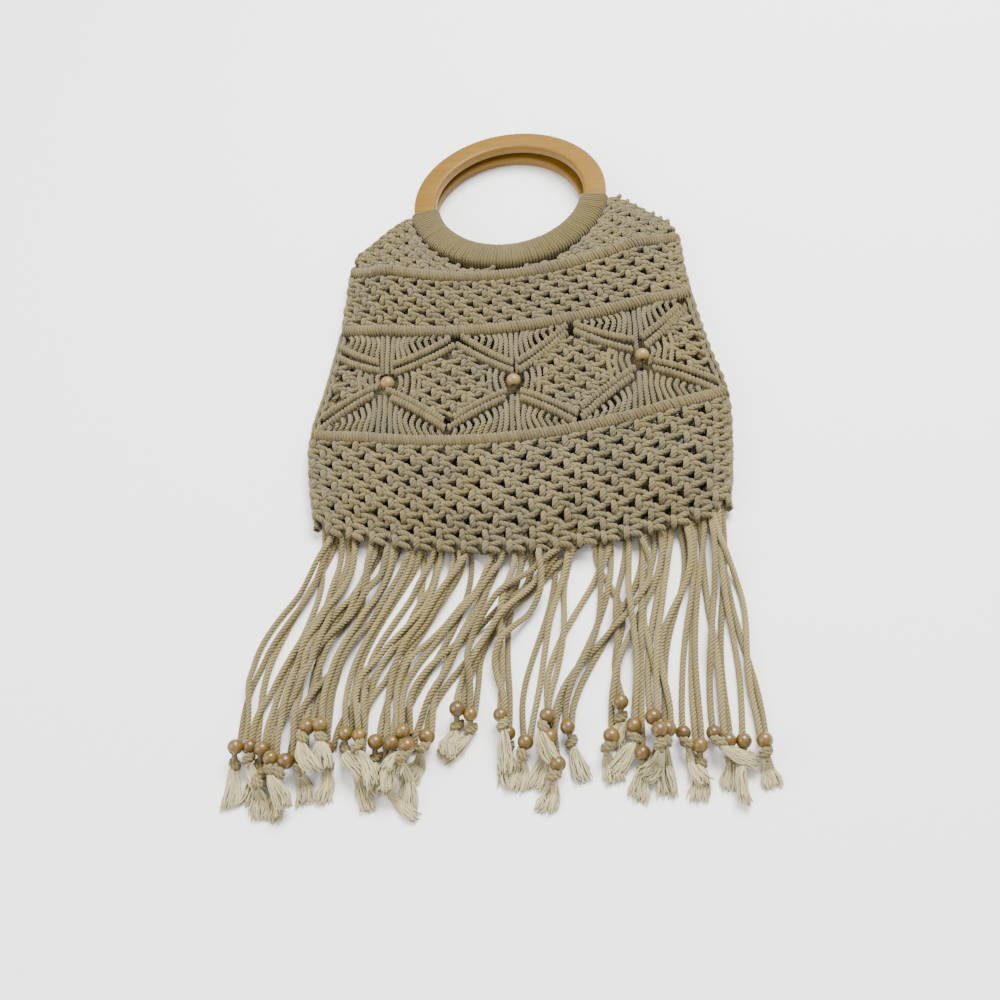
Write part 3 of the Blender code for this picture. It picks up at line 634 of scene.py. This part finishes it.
# Loose cords of the star band, and the knotted hearts of its diamonds
loose = {"cord": 1.84, "pitch": 4.6, "lay": 10.0}
ropeLobes = [1.0, 0.95, 0.79] * 4
slackLobes = [1.0, 0.96, 0.84] * 4


def lineY(entries, x):
    # height of the rib that covers x, or None
    for x0, y0, x1, y1 in entries:
        low, high = min(x0, x1), max(x0, x1)
        if low <= x <= high:
            return mix(y0, y1, (x - x0) / (x1 - x0))
    return None


def ridgeY(depth, x):
    row = rowAt(np.array(depth))
    t = x / (row[1] * pouch["width"])
    return float(rowPlan(np.array(t), np.array(depth))[1])


upperRibs = [ribTable[i] for i in (0, 2, 8, 10, 16, 18)]
innerUpper = [ribTable[i] for i in (1, 3, 9, 11, 17, 19)]
innerLower = [ribTable[i] for i in (4, 6, 12, 14, 20, 22)]
lowerRibs = [ribTable[i] for i in (5, 7, 13, 15, 21, 23)]
looseCords = newParts()


def addLoose(x, top, bottom, belly, lean=0.0):
    # a slack cord between two knotted rows, bowed to one side
    span = abs(top - bottom)
    share = np.array([0, 0.22, 0.46, 0.72, 0.9, 1])
    bow = np.array([0, 0.62, 1.0, 0.55, 0.1, -0.12])
    xs = x + belly * min(span / 12, 1.3) * bow + lean * share + rng.normal(0, 0.22, 6)
    points = frontAt(xs, mix(top, bottom, share))
    points[:, 2] += np.array([-0.8, 0.9, 1.7, 1.3, 0.4, -0.8]) + rng.normal(0, 0.5)
    path = smoothPath(points, max(int(span / 1.5), 6))
    sweep(looseCords, path, loose["cord"] * rng.normal(1, 0.03), 12, lobes=slackLobes, lay=loose["lay"])


for starX, starY in stars:
    for n in range(10):
        for side in (-1, 1):
            offset = side * (n + 0.5) * loose["pitch"]
            x = starX + offset
            inward = -side * min(abs(offset) * 0.16, 2.8)
            top, arm = ridgeY(pouch["ridges"][1], x) - 3.0, lineY(upperRibs, x)
            arm = starY + 7 if arm is None and n < 2 else arm
            if arm is not None and top - arm > 4:
                addLoose(x, top, arm + 0.5, inward, inward * 0.4)
            arm, bottom = lineY(lowerRibs, x), ridgeY(pouch["ridges"][2], x) + 3.0
            arm = starY - 10.5 if arm is None and n < 2 else arm
            if arm is not None and arm - bottom > 4:
                addLoose(x, arm - 0.5, bottom, inward, -inward * 0.4)
            if 1 <= n <= 4:
                a, b = lineY(innerUpper, x), lineY(innerLower, x)
                a = starY + 5 + n if a is None else a
                b = starY - 5 - n if b is None else b
                addLoose(x, a - 1, b + 1, side * 1.8)
buildPiece("looseCords", looseCords, netCotton)

hearts = newParts()
heart = {"pitchX": 14.6, "pitchY": 7.9, "cord": 1.95, "clear": 4.5, "tall": 33, "left": -132, "right": 135,
         "middles": ((-45.5, -171.0, 24), (43.5, -170.0, 24), (-128.0, -163.0, 17), (130.0, -157.0, 17))}

for middleX, middleY, reach in heart["middles"]:
    spots = []
    for row in range(-5, 6):
        y = middleY - row * heart["pitchY"]
        for column in range(-3, 4):
            x = middleX + (column + (row % 2) * 0.5) * heart["pitchX"]
            upper, lower = lineY(innerUpper, x), lineY(innerLower, x)
            if abs(x - middleX) < reach and heart["left"] < x < heart["right"]:
                upper = middleY + heart["tall"] if upper is None else upper
                lower = middleY - heart["tall"] if lower is None else lower
                if lower + heart["clear"] < y < upper - heart["clear"]:
                    spots.append((x, y))
    addKnots(hearts, frontAt, spots, heart["pitchX"], -heart["pitchY"], heart["cord"])
addEdges(hearts, frontPatch, pouch["ridges"][1], pouch["ridges"][2], 10, 1.6)
buildPiece("starHearts", hearts, netCotton)
print("stage: star band")

# Back of the pouch: the same net, plainer, facing the floor
backLook = {"rows": 20, "cords": (2.6, 3.3), "flatten": 0.25, "edgeEnd": 0.95, "edgeCord": 1.6,
            "shoulderPitch": 8.0, "shoulderStart": 0.5, "shoulderCords": (2.3, 3.2),
            "mouthInsets": (0.0, 2.8, 5.4), "mouthCord": 1.8}
backNet = newParts()


def addBackKnots(patch, centres, pitchDown, cords):
    # every strand, then the core cords again and thicker, so that no floor shows through both nets
    for cord, names in zip(cords, (fullKnot, ("leftCore", "rightCore"))):
        addKnots(backNet, patch, centres, pitchU, pitchDown, cord, -1.0, backLook["flatten"], 6, 6, 1.0, names)


centres, pitchV = bandCentres(firstRidge, 1.0, backLook["rows"])
addBackKnots(backPatch, centres, pitchV, backLook["cords"])
centres = shoulderCentres(backLook["shoulderPitch"], backLook["shoulderStart"], backPatch, backMouth)
addBackKnots(backShoulder, centres, -backLook["shoulderPitch"], backLook["shoulderCords"])
addMouthEdge(backNet, backMouth, backLook["mouthInsets"], backLook["mouthCord"], -0.3)
addEdges(backNet, backPatch, firstRidge, backLook["edgeEnd"], backLook["rows"], backLook["edgeCord"], -1.0)
buildPiece("backNet", backNet, backCotton, ("back_panel",))
print("stage: back net")

# Rings and their lark's head wraps
ringLook = {"outer": 76.0, "band": 17.5, "thick": 8.0, "edge": 2.4, "turns": 160}
wrapLook = {"loops": 88, "from": -169.2, "to": -10.8, "sideWall": 1.4, "topWall": 1.3, "edge": 3.4, "cord": 1.2}


def placeRing(points, ring):
    # from the ring's own plane into the bag's: tilt about X, then lift
    angle = -math.atan(ring["slope"])
    x, y, z = points[..., 0], points[..., 1], points[..., 2]
    return stack(x + ring["shift"], y * math.cos(angle) - z * math.sin(angle),
                 y * math.sin(angle) + z * math.cos(angle) + ringHeight(ring["low"], ring["slope"], 0.0))


def roundedSection(halfWidth, halfHeight, edge, perCorner):
    points = []
    for cx, cz, start in ((1, 1, 0), (-1, 1, 90), (-1, -1, 180), (1, -1, 270)):
        for a in np.linspace(start, start + 90, perCorner):
            points.append((cx * (halfWidth - edge) + edge * math.cos(math.radians(a)),
                           cz * (halfHeight - edge) + edge * math.sin(math.radians(a))))
    return np.array(points)


def addRing(name, ring, nodes):
    section = roundedSection(ringLook["band"] / 2, ringLook["thick"] / 2, ringLook["edge"], 6)
    angle = np.linspace(0, 2 * math.pi, ringLook["turns"], endpoint=False)[:, None]
    radius = ringLook["outer"] - ringLook["band"] / 2 + section[None, :, 0]
    points = stack(radius * np.cos(angle), radius * np.sin(angle), section[None, :, 1] + 0 * angle)
    parts = newParts()
    addRings(parts, placeRing(points, ring)[None], np.arange(ringLook["turns"])[None] * 3.0, np.array([0.5]), True)
    buildPiece(name, parts, ringWood, nodes)


def addWrap(name, ring, nodes):
    count = wrapLook["loops"]
    halfBand = ringLook["band"] / 2
    angle = np.radians(np.linspace(wrapLook["from"], wrapLook["to"], count)) + rng.normal(0, 0.0012, count)
    section = roundedSection(halfBand + wrapLook["sideWall"], ringLook["thick"] / 2 + wrapLook["topWall"],
                             wrapLook["edge"], 5)
    loops = section[None] * (1 + rng.normal(0, 0.008, (count, 1, 1)))
    radius = ringLook["outer"] - halfBand + loops[..., 0]
    turn = angle[:, None] + rng.normal(0, 0.0012, (count, 1)) * (loops[..., 0] / 9)
    points = stack(radius * np.cos(turn), radius * np.sin(turn), loops[..., 1])
    parts = newParts()
    sweep(parts, placeRing(points, ring), wrapLook["cord"], 6, closed=True, guide=np.array([[0.0, 0.3, 1.0]]))
    buildPiece(name, parts, wrapCotton, nodes)


addRing("frontRing", frontRing, ("ring_front",))
addRing("rearRing", rearRing, ("ring_rear",))
addWrap("frontWrap", frontRing, ("wrap_front",))
addWrap("rearWrap", rearRing, ("wrap_rear",))
print("stage: handles")


# Beads: turned wood with a bore along the cord
def beadProfile(radius, half, bore, count=12):
    tip = math.acos(bore / radius)
    angle = np.linspace(tip, -tip, count)
    outer = np.stack([radius * np.cos(angle), half * np.sin(angle) / math.sin(tip)], axis=-1)
    inner = np.stack([np.full(3, bore * 0.96), np.linspace(-half * 0.9, half * 0.9, 3)], axis=-1)
    return np.concatenate([outer, inner])


def addBead(parts, centre, axis, radius, half, bore, shade, segments=16):
    profile = beadProfile(radius, half, bore)
    axis = axis / np.linalg.norm(axis)
    side = unit(np.cross(axis, [0.0, 0.05, 1.0]))
    up = np.cross(side, axis)
    angle = np.linspace(0, 2 * math.pi, segments, endpoint=False)[:, None]
    rings = (centre + (profile[None, :, 0] * np.cos(angle))[..., None] * side
             + (profile[None, :, 0] * np.sin(angle))[..., None] * up + profile[None, :, 1, None] * axis)
    addRings(parts, rings[None], np.zeros((1, segments)), np.array([shade]), True)


starBead = {"radius": 5.3, "half": 4.8, "bore": 1.8, "segments": 28}
starBeads = newParts()
for node in ("star_bead_left", "star_bead_middle", "star_bead_right"):
    low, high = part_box(node)
    centre = np.array((low + high) / 2) / mm - origin
    addBead(starBeads, centre, np.array([0.0, 1.0, 0.0]), starBead["radius"], starBead["half"], starBead["bore"],
            rng.uniform(0, 1), starBead["segments"])
buildPiece("starBeads", starBeads, starWood, ("star_bead_left", "star_bead_middle", "star_bead_right"))

# Fringe. Roots and bead ends in mm from the front ring's centre
rootTable = ((-136, -279), (-122, -282), (-103, -286), (-88, -289), (-70, -292), (-54, -295), (-36, -297),
             (-14, -299), (3, -299),
             (23, -299), (42, -299), (62, -297), (80, -295), (96, -293), (114, -291), (128, -289), (138, -287))
leftEnds = ((-180, -434), (-172, -433), (-163, -436), (-162, -449), (-156, -443), (-147, -445), (-139, -441),
            (-135, -423), (-126, -423),
            (-122, -437), (-111, -428), (-103, -441), (-101, -431), (-91, -435), (-84, -455), (-80, -437),
            (-73, -431), (-69, -442),
            (-59, -433), (-40, -417), (-32, -420))
rightEnds = ((-13, -422), (-9, -433), (2, -440), (16, -425), (17, -438), (21, -454), (28, -432), (54, -439),
             (61, -418), (68, -433),
             (72, -450), (80, -430), (83, -443), (88, -440), (97, -439), (106, -448), (115, -440), (123, -446),
             (132, -446), (144, -447))
fringe = {"cord": 2.2, "bead": 5.0, "beadHalf": 4.7, "knot": 2.7, "lay": 10.0, "step": 1.7, "tuft": (16.0, 25.0),
          "yarns": 46,
          "bore": 1.5, "rootInset": 4.5, "rootShare": 0.955, "rootSteps": (-5.6, -1.9, 1.9, 5.6), "rootHeight": 7.5,
          "innerRise": 2.0, "outerDrop": 1.2}
# heights over the floor in mm; mapCell is a cell's side in mm and mapLow the map's low corner
heightMap = np.zeros((640, 800))
mapCell = 0.5
mapLow = np.array([-200.0, -510.0])


def mapCells(points, radius):
    reach = int(math.ceil(radius / mapCell))
    offsets = np.array([(i, j) for i in range(-reach, reach + 1) for j in range(-reach, reach + 1)
                        if math.hypot(i, j) * mapCell <= radius])
    cells = ((points[:, :2] - mapLow) / mapCell).astype(int)
    i = np.clip(cells[:, None, 1] + offsets[None, :, 1], 0, heightMap.shape[0] - 1)
    j = np.clip(cells[:, None, 0] + offsets[None, :, 0], 0, heightMap.shape[1] - 1)
    return i, j, np.hypot(offsets[:, 0], offsets[:, 1]) * mapCell


def layDown(points, radius, slope=0.45, fixed=0):
    # rests a path on the floor and on what already lies there, then adds it to the height map
    i, j, away = mapCells(points, radius)
    dome = np.sqrt(np.maximum(radius**2 - away**2, 0))
    need = (heightMap[i, j] + dome[None]).max(axis=1)
    gaps = np.concatenate([[0], np.cumsum(np.linalg.norm(np.diff(points[:, :2], axis=0), axis=-1))])
    spread = need[None] - slope * np.abs(gaps[:, None] - gaps[None])
    z = np.maximum(spread.max(axis=1), radius)
    for step in range(6):
        z[1:-1] = np.maximum(z[1:-1] * 0.5 + (z[:-2] + z[2:]) * 0.25, need[1:-1] * 0.92)
    if fixed:
        share = smoothstep(np.arange(len(z)) / fixed)
        z = mix(points[:, 2], z, share)
    placed = np.concatenate([points[:, :2], z[:, None]], axis=1)
    np.maximum.at(heightMap, (i, j), z[:, None] + dome[None] * 0.9)
    return placed


cords = newParts()
beads = newParts()
knots = newParts()
tufts = newParts()
roots = []
rootEdge = frontPatch(1.0, 1.0)[0] - fringe["rootInset"]
for gx, gy in rootTable:
    for order, dx in enumerate(fringe["rootSteps"]):
        rootX = min(max(gx * fringe["rootShare"] + dx, -rootEdge), rootEdge)
        rootZ = fringe["rootHeight"] + (fringe["innerRise"] if order in (1, 2) else -fringe["outerDrop"])
        roots.append((rootX, gy + 5.0 - abs(dx) * 0.1, rootZ))
leftRoots, rightRoots = [], []
for index, root in enumerate(roots):
    shared = 32 <= index < 44
    (leftRoots if index < 32 or (shared and index % 2) else rightRoots).append(root)


def assign(rootList, ends):
    # shares the cords out over the beads in order, one or two to a bead
    spare = len(rootList) - len(ends)
    double = set(np.linspace(0, len(ends) - 1, spare).round().astype(int).tolist())
    order = np.argsort(np.arange(len(rootList)) + rng.normal(0, 2.6, len(rootList)))
    pairs, k = [], 0
    for n, end in enumerate(ends):
        for twin in range(2 if n in double and k < len(rootList) - 1 else 1):
            pairs.append((rootList[order[min(k, len(order) - 1)]], end, twin, n in double))
            k += 1
    return pairs


def cordPath(root, end, twin, paired):
    side = (1.7 if twin else -1.7) if paired else 0.0
    sx, sy, sz = root
    ex, ey = end[0] + side, end[1] + fringe["beadHalf"] * 0.6
    share = np.linspace(0, 1, 12)
    turn = rng.uniform(0.3, 0.62)
    drift = smoothstep((share - turn + 0.42) / 0.84)
    drift = (drift - drift[0]) / (drift[-1] - drift[0])
    wave = rng.normal(0, 4.6) * np.sin(math.pi * share * rng.uniform(1.2, 2.6)
                                       + rng.uniform(0, 2)) * np.sin(math.pi * share)
    x = mix(sx, ex, drift) + wave
    y = mix(sy, ey, share)
    z = np.interp(share, [0, 0.06, 0.2, 1], [sz, sz * 0.9, 4.0, 3.0])
    points = stack(x, y, z)
    length = np.linalg.norm(np.diff(points[:, :2], axis=0), axis=-1).sum()
    return smoothPath(points, int(length / fringe["step"]))[0]


def turnFlat(direction, angle):
    # turns a flat direction round the vertical
    c, s = math.cos(angle), math.sin(angle)
    return np.array([direction[0] * c - direction[1] * s, direction[0] * s + direction[1] * c, 0])


jobs = assign(leftRoots, leftEnds) + assign(rightRoots, rightEnds)
jobOrder = rng.permutation(len(jobs))
ends = {}
for n in jobOrder:
    root, end, twin, paired = jobs[n]
    path = layDown(cordPath(root, end, twin, paired), fringe["cord"], fixed=14)
    sweep(cords, path[None], fringe["cord"] * rng.uniform(0.94, 1.05), 12, lobes=ropeLobes, lay=fringe["lay"])
    ends.setdefault(end, []).append(path)
buildPiece("fringeCords", cords, fringeCotton, ("fringe",))

# an overhand knot, pulled tight: two slanting turns of the cord round its own line
turns = np.linspace(0, 2.1 * 2 * math.pi, 25)
coil = np.stack([np.cos(turns), np.sin(turns), (turns / turns[-1] - 0.5) * 1.7 + 0.45 * np.cos(turns)], axis=-1)
for end, paths in ends.items():
    last = np.mean([p[-1] for p in paths], axis=0)
    before = np.mean([p[-9] for p in paths], axis=0)
    ahead = last - before
    ahead[2] = 0
    ahead = ahead / np.linalg.norm(ahead)
    spin = math.radians(rng.normal(0, 16))
    ahead = turnFlat(ahead, spin)
    size = rng.uniform(0.92, 1.06)
    centre = np.array([end[0], end[1], 0.0])
    spot = layDown(np.array([centre, centre + ahead * 0.5]), fringe["bead"] * size * 0.9)
    centre[2] = max(spot[0, 2] + 0.3, fringe["bead"] * size + 0.05)
    addBead(beads, centre, ahead + np.array([0, 0, rng.normal(0, 0.1)]), fringe["bead"] * size,
            fringe["beadHalf"] * size, fringe["bore"], rng.uniform(0, 1))
    knotAt = centre + ahead * (fringe["beadHalf"] + 3.0)
    spot = layDown(np.array([knotAt, knotAt + ahead * 0.5]), 3.0)
    knotAt[2] = max(spot[0, 2], fringe["knot"] * 0.82 + 1.95)
    side = np.array([-ahead[1], ahead[0], 0.0])
    flip = rng.choice([-1, 1])
    shape = coil * fringe["knot"]
    path = knotAt + shape[:, :1] * side * flip + shape[:, 2:] * -ahead + shape[:, 1:2] * np.array([0, 0, 0.82])
    sweep(knots, path[None], 1.9 * roundEnds(25)[None], 8, lobes=[1.0, 0.86] * 4, lay=fringe["lay"])
    stem = np.array([centre + ahead * 2.0, knotAt, knotAt + ahead * 5.5])
    sweep(knots, smoothPath(stem, 5), np.array([[1.9, 1.9, 1.9, 1.8, 1.2]]), 8)
    # the unravelled tail: single yarns that fan out over the floor
    length = rng.uniform(*fringe["tuft"])
    turn = math.radians(rng.normal(0, 22))
    heading = turnFlat(ahead, turn)
    limits = (-0.1 if end[0] < -150 else -1.0, 0.1 if end[0] > 118 else 1.0)
    heading[0] = min(max(heading[0], limits[0]), limits[1])
    across = np.array([-heading[1], heading[0], 0.0])
    width = rng.uniform(4.2, 6.8)
    count = fringe["yarns"]
    start = knotAt + ahead * 3.2
    share = np.linspace(0, 1, 5)
    offset = rng.uniform(-1, 1, count)
    layer = rng.uniform(-1, 1, count)
    reach = length * rng.uniform(0.86, 1.05, count)
    curl = rng.normal(0, 2.5)
    support = layDown(np.array([start + heading * length * s for s in (0.2, 0.5, 0.8)]), 3.0)[:, 2]
    lift = np.interp(share, [0, 0.2, 0.5, 0.8, 1], [knotAt[2], *(support - 0.4), support[2] - 1.0])
    flare = 0.34 + 0.66 * (1 - (1 - share) ** 2.2)
    points = (start + heading * (share[None, :, None] * reach[:, None, None])
              + across * ((offset[:, None] * width * flare[None] + curl * share[None] ** 2
                           + rng.normal(0, 1.0, (count, 5)) * np.sqrt(share)[None])[..., None]))
    depth = layer[:, None] * 2.3 * np.sqrt(np.maximum(1.02 - offset[:, None] ** 2,
                                                      0.04)) * (0.75 + 0.25 * share[None])
    points[..., 2] = np.maximum(lift[None] + depth, 0.6)
    sweep(tufts, smoothPath(points, 8), (0.58 * np.array([0.9, 1, 1, 1, 1, 0.95, 0.85, 0.4]))[None], 4)
buildPiece("fringeBeads", beads, fringeWood)
buildPiece("fringeKnots", knots, fringeCotton)
buildPiece("fringeTufts", tufts, tuftCotton)
print("stage: fringe")

# Floor, light and camera
studio = {"floor": "#f6f6f5", "key": 100.0, "keySize": 1.1, "fill": 22.0, "fillSize": 1.4, "world": 1.1}
floorMesh = bpy.data.meshes.new("floor")
floorMesh.from_pydata([(-3, -3, 0), (3, -3, 0), (3, 3, 0), (-3, 3, 0)], [], [(0, 1, 2, 3)])
floorMaterial, floorTree, floorShader = newMaterial("paleFloor")
floorShader.inputs["Base Color"].default_value = toLinear(studio["floor"])
floorShader.inputs["Roughness"].default_value = 0.9
floorMesh.materials.append(floorMaterial)
floor = bpy.data.objects.new("floor", floorMesh)
bpy.context.scene.collection.objects.link(floor)


def addArea(name, location, aim, size, power):
    light = bpy.data.lights.new(name, "AREA")
    light.shape = "DISK"
    light.size = size
    light.energy = power
    holder = bpy.data.objects.new(name, light)
    holder.location = location
    holder.rotation_mode = "QUATERNION"
    holder.rotation_quaternion = (Vector(aim) - Vector(location)).to_track_quat("-Z", "Y")
    bpy.context.scene.collection.objects.link(holder)


addArea("keyLight", (0.55, 0.75, 1.6), (0, 0, 0), studio["keySize"], studio["key"])
addArea("fillLight", (-1.2, -0.4, 1.1), (0, 0, 0), studio["fillSize"], studio["fill"])
world = bpy.data.worlds.new("studioWorld")
bpy.context.scene.world = world
world.use_nodes = True
world.node_tree.nodes["Background"].inputs["Color"].default_value = (1.0, 0.99, 0.97, 1.0)
world.node_tree.nodes["Background"].inputs["Strength"].default_value = studio["world"]

# lens in mm on a 36 mm sensor; angles in degrees; distance and target in metres
view = {"lens": 42.593, "elevation": 58.488, "azimuth": 12.723, "roll": 15.482, "distance": 0.80553,
        "target": (-0.011757, -0.26887, 0.012)}
elevation, azimuth, roll = (math.radians(view[key]) for key in ("elevation", "azimuth", "roll"))
back = Vector((math.sin(azimuth) * math.cos(elevation), -math.cos(azimuth) * math.cos(elevation),
               math.sin(elevation)))
right = (-back).cross(Vector((0, 0, 1))).normalized()
up = right.cross(-back)
rolledRight = right * math.cos(roll) - up * math.sin(roll)
rolledUp = right * math.sin(roll) + up * math.cos(roll)
target = Vector(view["target"]) + Vector((origin * mm).tolist())
place = target + back * view["distance"]
cameraData = bpy.data.cameras.new("photoCamera")
cameraData.lens = view["lens"]
cameraData.sensor_width = 36.0
cameraData.clip_start, cameraData.clip_end = 0.01, 20.0
camera = bpy.data.objects.new("photoCamera", cameraData)
camera.matrix_world = Matrix(((rolledRight.x, rolledUp.x, back.x, place.x),
                              (rolledRight.y, rolledUp.y, back.y, place.y),
                              (rolledRight.z, rolledUp.z, back.z, place.z), (0, 0, 0, 1)))
bpy.context.scene.collection.objects.link(camera)
bpy.context.scene.camera = camera
print("stage: studio")
